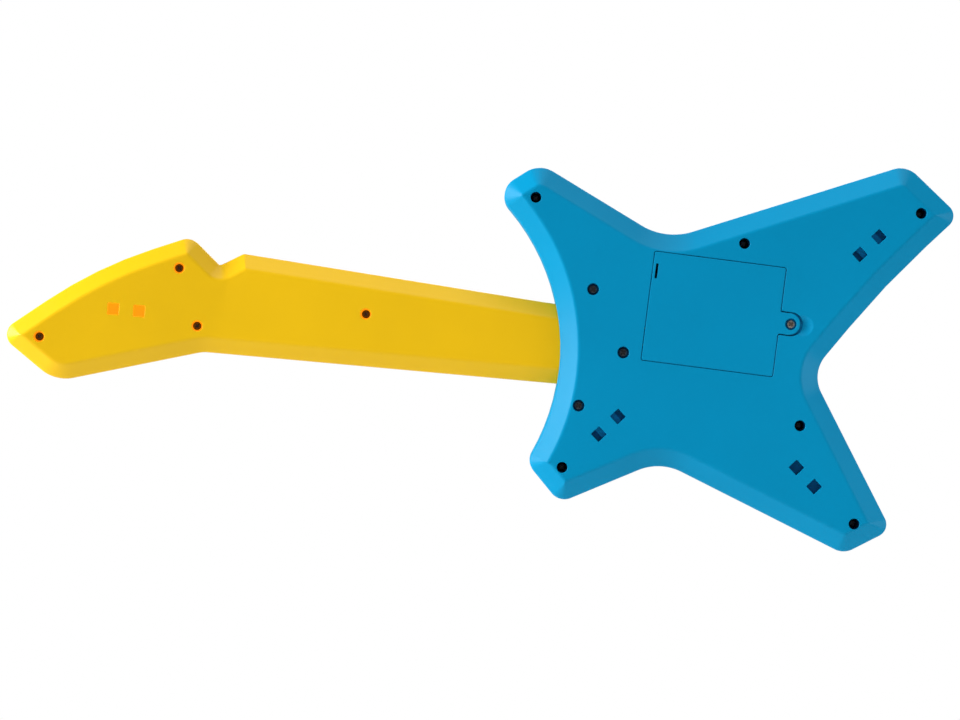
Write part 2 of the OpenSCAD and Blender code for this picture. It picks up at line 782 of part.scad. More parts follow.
module pickguard() {
    color(yellow) difference() {
        slab(body_depth, body_depth + 1.6) polygon(outline(guard_corners, 0));
        slab(body_depth - 1, body_depth + 3) pad_shape(strum_x, 0, 15, strum_l + 6, 1.5);
        rod(whammy_at[0], whammy_at[1], body_depth - 1, body_depth + 3, whammy_r + 1);
    }
}

module pickup_cover() {
    color(black) for (x = [6, 24]) slab(body_depth + 1.6, body_depth + 4) pad_shape(x, 0, 9, 38, 2);
}

module bridge_cover() {
    color(steel) union() {
        slab(body_depth + 1.6, body_depth + 5) pad_shape(74, 8, 9, 22, 2);
        for (i = [-2:2]) rod(74, 8 + 4 * i, body_depth + 4.9, body_depth + 6, 1.2);
    }
}

// ---- Neck controls ----
module fret_button(i) {
    color(blue) union() {
        slab(27.8, neck_front + 2.4) pad_shape(fret_at[i], 0, fret_w, fret_h, 2);
        slab(neck_front + 2.3, neck_front + 3.4) pad_shape(fret_at[i], 0, fret_w - 2, fret_h - 2, 2);
        slab(27.8, neck_in - 0.2) pad_shape(fret_at[i], 0, fret_w + 3, fret_h + 3, 2);
        rod(fret_at[i], 0, fret_dome_y + button_travel + 0.2, 27.9, 3);
    }
}

module fret_button_1() {
    fret_button(0);
}

module fret_button_2() {
    fret_button(1);
}

module fret_button_3() {
    fret_button(2);
}

module fret_button_4() {
    fret_button(3);
}

module fret_button_5() {
    fret_button(4);
}

module neck_pcb() {
    color(board) difference() {
        block([-196, neck_pcb_y, -13], [-42, neck_pcb_y + 1.2, 13]);
        rod(neck_screw_at[0], neck_screw_at[1], 20, 30, 4);
    }
}

module fret_pad() {
    color(silicone) difference() {
        union() {
            block([-192, neck_pcb_y + 1.2, -10], [-46, neck_pcb_y + 1.8, 10]);
            for (x = fret_at) rod(x, 0, neck_pcb_y + 1.7, fret_dome_y, 3.4);
        }
        rod(neck_screw_at[0], neck_screw_at[1], 20, 30, 4.4);
    }
}

module nut_bar() {
    color(white) block([-203, neck_front, -22], [-199, neck_front + 2.6, 22]);
}

// Raised bars between the fret buttons
module fret_bars() {
    color(white) for (x = [-194, -169, -144, -119, -94, -69, -44]) {
        half = 21.5 - (x + 200) * 0.027;
        slab(neck_front, neck_front + 0.9) pad_shape(x, 0, 2, 2 * half, 0.9);
    }
}

module tuner_caps() {
    color(blue) leaning() for (p = tuner_at) {
        rod(p[0], p[1], neck_front, neck_front + 2, 5.5);
        translate([p[0], neck_front + 6.5, p[1]]) rotate([90, 0, 0]) cylinder(h = 4.6, r = 4.2, $fn = 6);
        rod(p[0], p[1], neck_in, neck_front + 0.1, 2);
    }
}

// ---- Wiring ----
module battery_wires() {
    color(black) for (s = [-1, 1])
        tube([[88.6, 8, 14 + 3 * s], [89.4, 12, 13 + 3 * s], [90.2, 18, 10 + 3 * s], [89, 21.6, 6 + 2 * s],
            [84, 23, 2 * s], [78.5, 23.3, 2 * s - 4]], 0.6, 8, [0, 0, 1]);
}

module speaker_wires() {
    color(black) for (s = [-1, 1])
        tube([[94.5, 27, 54 + 2 * s], [92, 27.5, 46 + 2 * s], [89, 28, 36 + 2 * s], [86, 27.6, 26 + 2 * s],
            [83, 26.6, 18 + 2 * s], [80.6, 26.2, 14 + 2 * s]], 0.6, 8, [1, 0, 0]);
}

module neck_ribbon() {
    color(white) for (i = [-2:2])
        tube([[-41.5, 23.2, 1.4 * i], [-30, 23.2, 1.4 * i], [-10, 23, 1.4 * i], [8, 22.6, 1.4 * i],
            [22, 22.6, 1.4 * i - 1], [27.7, 23.6, 1.4 * i - 2]], 0.55, 8, [0, 1, 0]);
}

body_back_shell();
body_front_shell();
neck_back_shell();
neck_front_shell();
battery_door();
battery_door_screw();
screw_retainer_ring();
battery_tray();
aa_cell_upper();
aa_cell_middle();
aa_cell_lower();
battery_springs();
battery_plates();
body_screws();
neck_joint_screws();
neck_screws();
main_pcb();
pcb_components();
pcb_screws();
strum_bar();
strum_shaft();
strum_spring();
strum_switches();
whammy_lever();
whammy_spring();
whammy_screw();
pickguard();
pickup_cover();
bridge_cover();
speaker_grille();
speaker_frame();
speaker_cone();
speaker_magnet();
effect_button_1();
effect_button_2();
effect_button_3();
effect_pad();
effect_pcb();
power_switch_knob();
power_switch_body();
light_lens();
light_led();
fret_button_1();
fret_button_2();
fret_button_3();
fret_button_4();
fret_button_5();
fret_pad();
neck_pcb();
nut_bar();
fret_bars();
tuner_caps();
battery_wires();
speaker_wires();
neck_ribbon();
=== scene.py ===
"""Looks of the toy electric guitar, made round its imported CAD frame.

Lengths are in millimetres until a mesh is made. The back of the guitar faces -Y.
"""

import math

import bmesh
import bpy
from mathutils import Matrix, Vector


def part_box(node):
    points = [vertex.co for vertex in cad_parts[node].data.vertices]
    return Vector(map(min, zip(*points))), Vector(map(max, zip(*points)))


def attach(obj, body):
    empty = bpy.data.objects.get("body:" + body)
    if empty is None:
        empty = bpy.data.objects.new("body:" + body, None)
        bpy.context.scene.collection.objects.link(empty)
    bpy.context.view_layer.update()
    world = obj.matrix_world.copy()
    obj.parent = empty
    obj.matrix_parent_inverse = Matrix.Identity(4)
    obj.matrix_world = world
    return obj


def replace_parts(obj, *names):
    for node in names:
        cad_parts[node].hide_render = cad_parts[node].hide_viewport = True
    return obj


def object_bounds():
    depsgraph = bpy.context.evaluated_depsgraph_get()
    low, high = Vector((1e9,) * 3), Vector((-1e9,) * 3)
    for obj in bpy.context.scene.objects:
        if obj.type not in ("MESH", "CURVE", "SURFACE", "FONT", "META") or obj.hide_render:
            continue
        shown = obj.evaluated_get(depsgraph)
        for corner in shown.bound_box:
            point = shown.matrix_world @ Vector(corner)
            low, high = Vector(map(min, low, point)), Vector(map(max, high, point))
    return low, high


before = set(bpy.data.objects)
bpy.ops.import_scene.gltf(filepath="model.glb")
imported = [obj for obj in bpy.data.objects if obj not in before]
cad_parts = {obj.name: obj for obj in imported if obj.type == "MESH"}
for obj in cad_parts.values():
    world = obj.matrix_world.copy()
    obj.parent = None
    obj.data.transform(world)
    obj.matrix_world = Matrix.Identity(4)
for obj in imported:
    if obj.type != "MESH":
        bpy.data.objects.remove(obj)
cad_low, cad_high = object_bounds()

MM = 0.001
ARC_STEP = 4.0  # degrees of a round corner between two of its points
CIRCLE_POINTS = 48
FEW_POINTS, FEWER_POINTS = 32, 24  # of smaller circles
LEAST_RADIUS = 0.4  # kept by a corner when its outline moves, unless its own is less
SAME_PLACE = 1e-3  # two points this near are one
SAME_DEPTH = 0.03  # two depths this near are one
SHORT_EDGE = 0.1  # an edge of less is left out of an outline
FLAT_FACE = -0.99  # outward y of a face that counts as part of the flat back
SMALL_AREA = 60  # square millimetres: a loop of less is a screw hole or a pocket
TOUCHING = 1e-7  # metres, as are the next two
WELD = 5e-7  # of new meshes
EASED_WELD = 2e-6  # of kept ones
FACE_WEIGHT = 80  # of a big face's share in the shading of its edges


# ---- Plane geometry: points are (x, z), seen from the back, and outlines run anticlockwise ----
def unit(v):
    return v / v.length


def left_of(v):
    return Vector((-v.y, v.x))


def turned(v, angle):
    c, s = math.cos(angle), math.sin(angle)
    return Vector((v.x * c - v.y * s, v.x * s + v.y * c))


def turn_between(a, b):
    return math.atan2(a.x * b.y - a.y * b.x, a.dot(b))


def rounded(corners, grow):
    """The outline with corners (x, z, radius), moved outwards by grow.

    It has the same number of points at any grow.
    """
    points = []
    for i, (x, z, radius) in enumerate(corners):
        before, after = corners[i - 1], corners[(i + 1) % len(corners)]
        e1 = unit(Vector((x - before[0], z - before[1])))
        e2 = unit(Vector((after[0] - x, after[1] - z)))
        n1, n2 = left_of(e1), left_of(e2)
        phi = turn_between(e1, e2)
        side = 1 if phi > 0 else -1
        r = max(min(radius, LEAST_RADIUS), radius + side * grow)
        tip = Vector((x, z)) - (n1 + n2) * (grow / (1 + n1.dot(n2)))
        centre = tip - e1 * (r * math.tan(abs(phi) / 2)) + n1 * (r * side)
        steps = max(2, math.ceil(abs(math.degrees(phi)) / ARC_STEP))
        points += [centre + turned(-n1 * (r * side), phi * k / steps) for k in range(steps + 1)]
    return points


def shape(corners):
    return lambda grow: rounded(corners, grow)


def circle(x, z, radius, count=CIRCLE_POINTS):
    def loop(grow):
        turns = [2 * math.pi * k / count for k in range(count)]
        return [Vector((x + (radius + grow) * math.cos(a), z + (radius + grow) * math.sin(a))) for a in turns]

    return loop


def box_shape(x, z, w, h, radius, angle=0.0):
    """Rounded rectangle about (x, z), turned by an angle in degrees."""
    halves = [(-w / 2, -h / 2), (w / 2, -h / 2), (w / 2, h / 2), (-w / 2, h / 2)]
    spun = [turned(Vector(p), math.radians(angle)) for p in halves]
    return shape([(x + p.x, z + p.y, radius) for p in spun])


def area_of(loop):
    return sum(a.x * b.y - a.y * b.x for a, b in zip(loop, loop[1:] + loop[:1])) / 2


def middle_of(loop):
    return sum(loop, Vector((0, 0))) / len(loop)


def fillet(profile, at, reach, steps=4):
    """The profile with its corner number at rounded off over that reach."""
    p = [Vector(q) for q in profile]
    a = p[at] + unit(p[at - 1] - p[at]) * reach
    b = p[at] + unit(p[at + 1] - p[at]) * reach
    curve = []
    for k in range(steps + 1):
        t = k / steps
        curve.append(a * (1 - t) ** 2 + p[at] * (2 * t * (1 - t)) + b * t**2)
    return [tuple(q) for q in p[:at] + curve + p[at + 1 :]]


def softened(profile, reaches):
    """The profile with each corner of reaches, {number: reach}, rounded off."""
    for at in sorted(reaches, reverse=True):
        profile = fillet(profile, at, reaches[at])
    return profile


# ---- Reading the CAD faces ----
def welded(node):
    bm = bmesh.new()
    bm.from_mesh(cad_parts[node].data)
    bmesh.ops.remove_doubles(bm, verts=bm.verts, dist=TOUCHING)
    bm.normal_update()
    return bm


def chained(pairs):
    """Loops of points from segments: each end goes on to the nearest segment that isn't used yet."""
    loops, left = [], list(pairs)
    while left:
        a, b = left.pop()
        loop = [a, b]
        while left and (loop[-1] - loop[0]).length > SAME_PLACE:
            best = min(range(len(left)), key=lambda i: min((e - loop[-1]).length for e in left[i]))
            a, b = left[best]
            if (loop[0] - loop[-1]).length < min((a - loop[-1]).length, (b - loop[-1]).length):
                break
            left.pop(best)
            if (b - loop[-1]).length < (a - loop[-1]).length:
                a, b = b, a
            loop += [b] if (a - loop[-1]).length < SAME_PLACE else [a, b]
        if (loop[-1] - loop[0]).length < SAME_PLACE:
            loop.pop()
        loops.append(loop if area_of(loop) > 0 else loop[::-1])
    return loops


def flat_edge_loops(node, depth, unlean):
    """Loops, in millimetres, round the flat back face of a node at that depth and round its holes."""
    bm = welded(node)
    pairs = []
    for edge in bm.edges:
        ends = [unlean(v.co / MM) if unlean else v.co / MM for v in edge.verts]
        if len(edge.link_faces) != 2 or any(abs(p.y - depth) > SAME_DEPTH for p in ends):
            continue
        low, high = sorted(face.normal.y for face in edge.link_faces)
        if low < FLAT_FACE < high and (ends[0] - ends[1]).length > SHORT_EDGE:
            pairs.append([Vector((p.x, p.z)) for p in ends])
    bm.free()
    return sorted(chained(pairs), key=area_of)


def centre_of(node):
    """Middle (x, z) of a CAD node's box, in millimetres."""
    low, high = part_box(node)
    return (low.x + high.x) / 2 / MM, (low.z + high.z) / 2 / MM


def tallness(node):
    low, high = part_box(node)
    return (high.z - low.z) / MM


def screw_places(node):
    """Middle (x, z) of each separate lump of a CAD node, so of each of its screws, in millimetres."""
    bm = welded(node)
    left, found = set(bm.verts), []
    while left:
        grown, group = [left.pop()], []
        while grown:
            vert = grown.pop()
            group.append(vert.co / MM)
            near = [e.other_vert(vert) for e in vert.link_edges if e.other_vert(vert) in left]
            left.difference_update(near)
            grown += near
        xs, zs = [p.x for p in group], [p.z for p in group]
        found.append(((min(xs) + max(xs)) / 2, (min(zs) + max(zs)) / 2))
    bm.free()
    return found


# ---- Solids made in code ----
class Skin:
    """Collects strips of faces that meet at shared points, in millimetres."""

    def __init__(self):
        self.index, self.points, self.faces = {}, [], []

    def at(self, x, y, z):
        key = (round(x, 4), round(y, 4), round(z, 4))
        if key not in self.index:
            self.index[key] = len(self.points)
            self.points.append(Vector((x, y, z)))
        return self.index[key]

    def face(self, ids):
        kept = [a for a, b in zip(ids, ids[1:] + ids[:1]) if a != b]
        if len(set(kept)) > 2:
            self.faces.append(kept)

    def tube(self, rings):
        """Strips from each ring of points to the next, with a flat face at each end."""
        for a, b in zip(rings, rings[1:]):
            for i in range(len(a)):
                self.face([a[i - 1], a[i], b[i], b[i - 1]])
        self.face(rings[0])
        self.face(rings[-1])
        return self

    def sweep(self, loop_of, profile):
        """A tube whose rings are a shape at each (grow, depth) of a profile."""
        return self.tube([[self.at(p.x, y, p.y) for p in loop_of(grow)] for grow, y in profile])

    def made(self, name):
        mesh = bpy.data.meshes.new(name)
        mesh.from_pydata([p * MM for p in self.points], [], self.faces)
        bm = bmesh.new()
        bm.from_mesh(mesh)
        bmesh.ops.recalc_face_normals(bm, faces=bm.faces)
        bm.to_mesh(mesh)
        bm.free()
        obj = bpy.data.objects.new(name, mesh)
        bpy.context.scene.collection.objects.link(obj)
        return obj


def applied(obj):
    """Makes the object's modifiers part of its mesh."""
    bpy.context.view_layer.update()
    mesh = bpy.data.meshes.new_from_object(obj.evaluated_get(bpy.context.evaluated_depsgraph_get()))
    obj.modifiers.clear()
    obj.data = mesh
    return obj


def combined(obj, skin, how):
    """obj with the skin's solids added, how UNION, or cut away, how DIFFERENCE."""
    other = skin.made("tool")
    boolean = obj.modifiers.new("boolean", "BOOLEAN")
    boolean.object, boolean.operation, boolean.solver = other, how, "EXACT"
    applied(obj)
    bpy.data.objects.remove(other)
    return obj


def finished(obj, body, slot, *nodes, angle=28, look=None):
    """Shades a new piece, gives it its slot's finish and lets it ride in place of its CAD nodes."""
    bm = bmesh.new()
    bm.from_mesh(obj.data)
    bmesh.ops.remove_doubles(bm, verts=bm.verts, dist=WELD)
    bmesh.ops.dissolve_degenerate(bm, edges=bm.edges, dist=WELD)
    bm.to_mesh(obj.data)
    bm.free()
    obj.data.polygons.foreach_set("use_smooth", [True] * len(obj.data.polygons))
    obj.data.set_sharp_from_angle(angle=math.radians(angle))
    weighted = obj.modifiers.new("weighted", "WEIGHTED_NORMAL")
    weighted.keep_sharp = True
    weighted.weight = FACE_WEIGHT
    obj.data.materials.clear()
    obj.data.materials.append(finish_of(look or slot))
    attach(obj, body)
    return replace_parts(obj, *nodes)


# ---- Materials ----
BLACK = (0, 0, 0, 1)
GLOW_REACH = 0.007  # metres within which a wall encloses a point
GLOW_END = 0.62  # share of open sky from which there is no painted glow


def linear(*srgb):
    """Linear colour from 0 to 255 display values."""
    return tuple((c / 255 / 12.92 if c <= 10 else ((c / 255 + 0.055) / 1.055) ** 2.4) for c in srgb) + (1.0,)


class Shader:
    """A Principled material and the few node links that every finish here is made of."""

    def __init__(self, name):
        self.material = bpy.data.materials.new(name)
        self.material.use_nodes = True
        self.tree = self.material.node_tree
        self.bsdf = self.tree.nodes["Principled BSDF"]
        self.place = self.node("ShaderNodeTexCoord").outputs["Object"]

    def node(self, kind, **settings):
        made = self.tree.nodes.new(kind)
        for key, value in settings.items():
            if key in made.inputs:
                made.inputs[key].default_value = value
            else:
                setattr(made, key, value)
        return made

    def link(self, a, b):
        self.tree.links.new(a, b)

    def noise(self, scale, detail, stretch=(1, 1, 1)):
        """Noise from 0 to 1; scale is its cells in a metre."""
        mapping = self.node("ShaderNodeMapping")
        mapping.inputs["Scale"].default_value = stretch
        noise = self.node("ShaderNodeTexNoise", Scale=scale, Detail=detail)
        self.link(self.place, mapping.inputs["Vector"])
        self.link(mapping.outputs["Vector"], noise.inputs["Vector"])
        return noise.outputs["Fac"]

    def ramp(self, fac, stops):
        ramp = self.node("ShaderNodeValToRGB")
        while len(ramp.color_ramp.elements) < len(stops):
            ramp.color_ramp.elements.new(0.5)
        for element, (at, colour) in zip(ramp.color_ramp.elements, stops):
            element.position, element.color = at, colour
        self.link(fac, ramp.inputs["Fac"])
        return ramp.outputs["Color"]

    def span(self, fac, low, high):
        mapped = self.node("ShaderNodeMapRange")
        mapped.inputs["To Min"].default_value = low
        mapped.inputs["To Max"].default_value = high
        self.link(fac, mapped.inputs["Value"])
        return mapped.outputs["Result"]

    def colour(self, output):
        self.link(output, self.bsdf.inputs["Base Color"])

    def rough(self, output):
        self.link(output, self.bsdf.inputs["Roughness"])

    def painted_recess_glow(self, colour, strength):
        """Painted light: a faint emission added where the surface is enclosed, in place of light seeping
        through the plastic.
        """
        open_sky = self.node("ShaderNodeAmbientOcclusion", Distance=GLOW_REACH, samples=8, only_local=True)
        painted_glow_colour = self.ramp(open_sky.outputs["AO"], [(0.0, tinted(colour, strength)), (GLOW_END, BLACK)])
        self.link(painted_glow_colour, self.bsdf.inputs["Emission Color"])
        self.bsdf.inputs["Emission Strength"].default_value = 1.0

    def bump(self, height, depth):
        bump = self.node("ShaderNodeBump", Strength=1.0, Distance=depth)
        self.link(height, bump.inputs["Height"])
        self.link(bump.outputs["Normal"], self.bsdf.inputs["Normal"])


def tinted(colour, share):
    return tuple(min(1.0, c * share) for c in colour[:3]) + (1.0,)


def plastic(name, colour, rough=0.36, grain=1.0, specular=0.25, glow=0.0):
    """Injection-moulded plastic: faint flow variation, fine moulded grain, uneven gloss."""
    s = Shader(name)
    s.bsdf.inputs["Specular IOR Level"].default_value = specular
    s.colour(s.ramp(s.noise(14, 3), [(0.3, tinted(colour, 0.97)), (0.7, tinted(colour, 1.03))]))
    s.rough(s.span(s.noise(160, 4), rough - 0.05, rough + 0.06))
    s.bump(s.noise(2400, 2), 0.00001 * grain)
    # painted light: orange emission in the plastic's holes and pockets
    if glow:
        s.painted_recess_glow(linear(255, 168, 20), glow)
    return s.material


def metal(name, colour, rough):
    """Plated steel with short drawn scratches."""
    s = Shader(name)
    s.bsdf.inputs["Metallic"].default_value = 1.0
    s.colour(s.ramp(s.noise(500, 3), [(0.3, tinted(colour, 0.8)), (0.7, tinted(colour, 1.1))]))
    s.rough(s.span(s.noise(900, 3, (1, 1, 0.1)), rough - 0.08, rough + 0.14))
    s.bump(s.noise(1800, 2, (1, 1, 0.1)), 0.00001)
    return s.material


def circuit(name):
    """Green solder mask over branching copper tracks."""
    s = Shader(name)
    tracks = s.node("ShaderNodeTexVoronoi", Scale=260.0, distance="MANHATTAN", feature="DISTANCE_TO_EDGE")
    s.link(s.place, tracks.inputs["Vector"])
    copper, green = linear(30, 120, 60), linear(12, 74, 36)
    mask = [(0.0, copper), (0.09, copper), (0.12, green), (1, green)]
    s.colour(s.ramp(tracks.outputs["Distance"], mask))
    s.rough(s.span(s.noise(300, 2), 0.25, 0.4))
    s.bump(tracks.outputs["Distance"], 0.00003)
    return s.material


def paper(name):
    """Pressed speaker paper."""
    s = Shader(name)
    s.colour(s.ramp(s.noise(700, 6), [(0.3, linear(26, 25, 24)), (0.7, linear(44, 42, 40))]))
    s.rough(s.span(s.noise(400, 4), 0.8, 0.95))
    s.bump(s.noise(1500, 6), 0.00006)
    return s.material


def lens(name):
    """Frosted clear plastic."""
    s = Shader(name)
    s.bsdf.inputs["Transmission Weight"].default_value = 0.6
    s.colour(s.ramp(s.noise(60, 2), [(0.3, linear(235, 240, 242)), (0.7, linear(250, 252, 252))]))
    s.rough(s.span(s.noise(500, 3), 0.15, 0.3))
    s.bump(s.noise(1500, 2), 0.00002)
    return s.material


FINISHES = {
    "blue_plastic": lambda n: plastic(n, linear(0, 150, 200), 0.34, specular=0.1),
    # the yellow plastic gets painted orange light in its recesses
    "yellow_plastic": lambda n: plastic(n, linear(252, 201, 4), 0.34, specular=0.3, glow=0.58),
    "screw_steel": lambda n: metal(n, linear(150, 140, 132), 0.35),
    # darker copy of the screw steel for screws deep in holes: painted shade of the holes
    "dark_steel": lambda n: metal(n, linear(84, 84, 88), 0.38),
    "plated_metal": lambda n: metal(n, linear(190, 190, 188), 0.25),
    "silver_plastic": lambda n: plastic(n, linear(176, 178, 182), 0.3),
    "black_plastic": lambda n: plastic(n, linear(24, 24, 27), 0.4),
    "white_plastic": lambda n: plastic(n, linear(236, 236, 230)),
    "circuit_board": circuit,
    "grey_silicone": lambda n: plastic(n, linear(176, 182, 186), 0.6, 2.0),
    "cell_jacket": lambda n: plastic(n, linear(40, 42, 46), 0.28, 0.3),
    "speaker_paper": paper,
    "clear_lens": lens,
    "cell_band": lambda n: metal(n, linear(200, 140, 60), 0.35),
    "wire_insulation": lambda n: plastic(n, linear(30, 30, 32), 0.5, 0.5),
}
made_finishes = {}


def finish_of(look):
    if look not in made_finishes:
        made_finishes[look] = FINISHES[look](look + "_finish")
    return made_finishes[look]


for cad_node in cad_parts.values():
    for held in cad_node.material_slots:
        held.material = finish_of(held.material.name)


# ---- Sizes of the casings: outlines are corners (x, z, radius), and bevels are (width, depth) ----
BODY_CORNERS = [(-1.4, 14.2, 115.3), (-34.9, -65.6, 9), (-14.4, -85.1, 9), (36.8, -55.8, 28),
    (141.8, -93, 11), (165.5, -76.9, 7), (112, 2, 18), (145.4, 54.2, 480), (180.7, 96.5, 7),
    (148.9, 120.3, 13), (24.6, 63.4, 34), (-48.3, 96, 14), (-70.6, 77.8, 10.5)]
NECK_CORNERS = [(-327.6, -32.7, 7.5), (-293.5, -54.7, 21), (-216.2, -28.6, 20), (20, -19.7, 2),
    (20, 20, 2), (-201.5, 27.1, 4), (-213, 19.1, 1.8), (-230.4, 32.7, 9), (-279.4, 9.5, 230)]
BODY_WALL = 2.4
NECK_WALL = 2.2
BACK_BEVEL = (9.6, 8.6)
FRONT_BEVEL = (5, 5)
NECK_BEVEL = (8, 6.6)
FRET_BEVEL = (3, 3)
PART_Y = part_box("body_back_shell")[1].y / MM  # where the back and front casings meet
BODY_FRONT_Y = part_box("body_front_shell")[1].y / MM
NECK_BACK_Y = 9.6
NECK_FRONT_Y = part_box("fret_bars")[0].y / MM
HEAD_X = -208  # crease where the headstock leans back
HEAD_TILT = math.radians(3.5)

SCREW_SEAT_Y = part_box("body_screws")[0].y / MM + 1.8
DEEP_R = 2.95  # hole of a body screw
TOWER_R, TOWER_TOP = 4.6, 19.6
BOSS_R, BOARD_BOSS_R = 3.6, 2.8
JOINT_SEAT_Y = 3.2
SHALLOW_R = 3.2  # hole of a joint screw
JOINT_TOWER_R = 5.2
HEEL_Y, HEEL_TOP = 12, 20  # bar and boss in the neck that the joint screws hold
HEEL_W, HEEL_R = 12, 5.9
HEEL_X = -11
HEEL_BOSS_R = 4.5
NECK_SEAT_Y = 18.3
NECK_TOWER_R, NECK_TOWER_TOP = 4.4, 20.4
NECK_BOSS_R = 3.4
SHANK_HOLE = 1.7
PILOT_R = 1.42  # hole that a casing screw cuts its thread in
BOARD_PILOT_R = 1.22
BOARD_BORE_Y = 24
FRONT_BORE_END = 34
NECK_BORE = (20, 28.6)
NECK_SHANK_END = 22
HEEL_BORE_END = 21
POST_EASE = 0.4
BOSS_GAP = 0.2  # between a tower and the boss that faces it
ENTRY_GAP = 0.25  # between the neck and the body where it enters

POCKET_DEEP = 7.0
POCKET_WALL = 1.4
TUNNEL_Y = 4  # depth at which two pockets join

TUNERS = ((-292, -20), (-266, 0), (-276, -38), (-248, -26))
TUNER_R = 2.1
FRET_SLOT = (14.6, 24.6, 2.3)  # width, height and corner radius
NECK_CHANNEL = (-20, 0, 84, 24, 0.5)  # way for the ribbon: x, z, length, width and corner radius
NECK_CHANNEL_END = 25.6
STRUM_SLOT_W, STRUM_SLOT_R, STRUM_CLEAR = 15, 1.5, 3
SPEAKER_R = 18
EFFECT_R = 7.3
POWER_SLOT = (14, -48, 14, 4.6, 1)  # x, z, width, height and corner radius
LENS_R = 5.1
LEVER_R = 3.05
OPENING_END = 30

# ---- Sizes of the battery door: DOOR_X0 to DOOR_Z1 are its opening ----
DOOR_X0, DOOR_Z0 = 19.05, -3
DOOR_X1, DOOR_Z1 = DOOR_X0 + 72, DOOR_Z0 + 59.7
DOOR_T = 2.2
GAP = 0.3
SCREW_X, SCREW_Z = 97.1, 26.6
TAB_R = 6.5
TAB_SHORT = 0.9  # cut from the lid tab's round end
TAB_BOSS_R, TAB_BOSS_TOP = 4.6, 4.2
DOOR_SCREW_R, DOOR_SCREW_SEAT = 3.1, 2.05
DOOR_SHANK_R = 1.75
SLIT = (21.5, 46, 1.35, 8.1, 0.5)  # x, z, width, height and corner radius
HOOK_Z = (10, 36)
HOOK_R, LIP_R = 4.4, 2.8
HOOK_HALF_W = 4
HOOK_STEPS = 16
SCOOP_R = 5.6
SCOOP_DEEP = 1.6
SCOOP_RINGS = 9


# ---- Casings ----
def leaned(p, way=1):
    """A point of the head turned about the crease where the head leans back, in millimetres."""
    if p.x >= HEAD_X:
        return p
    q = turned(Vector((p.x - HEAD_X, p.y - NECK_BACK_Y)), HEAD_TILT * way)
    return Vector((q.x + HEAD_X, q.y + NECK_BACK_Y, p.z))


def upright(p):
    return leaned(p, -1)


def openings(node, depth, unlean=None):
    """Round holes (x, z, radius) and square holes (x, z, side) in the flat back of a CAD casing."""
    rounds, squares = [], []
    for loop in flat_edge_loops(node, depth, unlean):
        at, area = middle_of(loop), area_of(loop)
        if len(loop) == 4 and area < SMALL_AREA:
            squares.append((at.x, at.y, (loop[1] - loop[0]).length))
        elif area < SMALL_AREA:
            rounds.append((at.x, at.y, math.sqrt(area / math.pi)))
    return rounds, squares


def half_casing(name, corners, face_y, wall, bevel, soft):
    """A hollow casing half with a bevelled face, its edges eased and its wall even."""
    w, t = bevel
    way = 1 if face_y < PART_Y else -1
    slope = math.hypot(w, t)
    in_w = w + wall * (slope - w) / t - wall
    in_t = t + wall * (slope - t) / w - wall
    profile = [(-w - soft - 0.05, face_y), (-w, face_y), (0, face_y + way * t), (0, PART_Y), (-wall, PART_Y),
        (-wall, face_y + way * (wall + in_t)), (-wall - in_w, face_y + way * wall)]
    profile = softened(profile, {1: soft, 2: min(soft, t / 3), 3: 0.25})
    return Skin().sweep(shape(corners), profile).made(name)


def posts(skin, places, y0, y1, radius):
    """Round towers with an eased end at y1."""
    ease = POST_EASE if y1 > y0 else -POST_EASE
    for x, z in places:
        skin.sweep(circle(x, z, radius), [(0, y0), (0, y1 - ease), (-POST_EASE, y1)])
    return skin


def drill(skin, loop_of, face_y, end_y, rim=0.35):
    """A hole from the outer face to end_y with a rounded rim."""
    way = 1 if end_y > face_y else -1
    entry = [(rim, face_y - way), (rim, face_y), (0, face_y), (0, face_y + way * 2 * rim)]
    skin.sweep(loop_of, fillet(entry, 2, rim * 0.98, 3)[:-1] + [(0, end_y)])
    return skin


def bore(skin, loop_of, y0, y1):
    """A plain hole."""
    skin.sweep(loop_of, [(0, y0), (0, y1)])
    return skin


def pocket_parts(squares, face_y, pairs):
    """Housings and hollows of pairs of square pockets that join behind the bridge between them."""
    housing, hollow = Skin(), Skin()
    for a, b in pairs:
        (ax, az, side), (bx, bz, _) = squares[a], squares[b]
        run = Vector((bx - ax, bz - az))
        tilt = math.degrees(math.atan2(run.y, run.x))
        x, z, length = (ax + bx) / 2, (az + bz) / 2, run.length
        end = face_y + POCKET_DEEP
        outer = length + side + 2 * POCKET_WALL
        profile = [(0, face_y + 1), (0, end + 1.1), (-0.3, end + POCKET_WALL)]
        housing.sweep(box_shape(x, z, outer, side + 2 * POCKET_WALL, 0.8, tilt), profile)
        bore(hollow, box_shape(x, z, length, side, 0.3, tilt), face_y + TUNNEL_Y, end)
        for px, pz in ((ax, az), (bx, bz)):
            drill(hollow, box_shape(px, pz, side, side, 0.45, tilt), face_y, end - 0.01, 0.3)
    return housing, hollow


def nearest_pairs(squares):
    """Numbers of the squares that are each other's nearest neighbour."""
    pairs = []
    for i, a in enumerate(squares):
        j = min((k for k in range(len(squares)) if k != i), key=lambda k: math.dist(a[:2], squares[k][:2]))
        if i < j:
            pairs.append((i, j))
    return pairs


def neck_entry():
    """Space that the neck fills where it enters the body."""
    gap, (w, t), f = ENTRY_GAP, NECK_BEVEL, FRET_BEVEL[0]
    profile = [(gap - w, NECK_BACK_Y - gap), (gap, NECK_BACK_Y - gap + t), (gap, NECK_FRONT_Y + gap - f),
        (gap - f, NECK_FRONT_Y + gap)]
    return Skin().sweep(shape(NECK_CORNERS), profile)


def door_corners():
    """Outline of the battery door's opening: a rectangle with a round-ended tab for the screw."""
    x0, x1, z0, z1 = DOOR_X0, DOOR_X1, DOOR_Z0, DOOR_Z1
    low, high, end = SCREW_Z - TAB_R, SCREW_Z + TAB_R, SCREW_X + TAB_R
    return [(x0, z0, 1.2), (x1, z0, 1.2), (x1, low, 0.8), (end, low, TAB_R), (end, high, TAB_R),
        (x1, high, 0.8), (x1, z1, 1.2), (x0, z1, 1.2)]


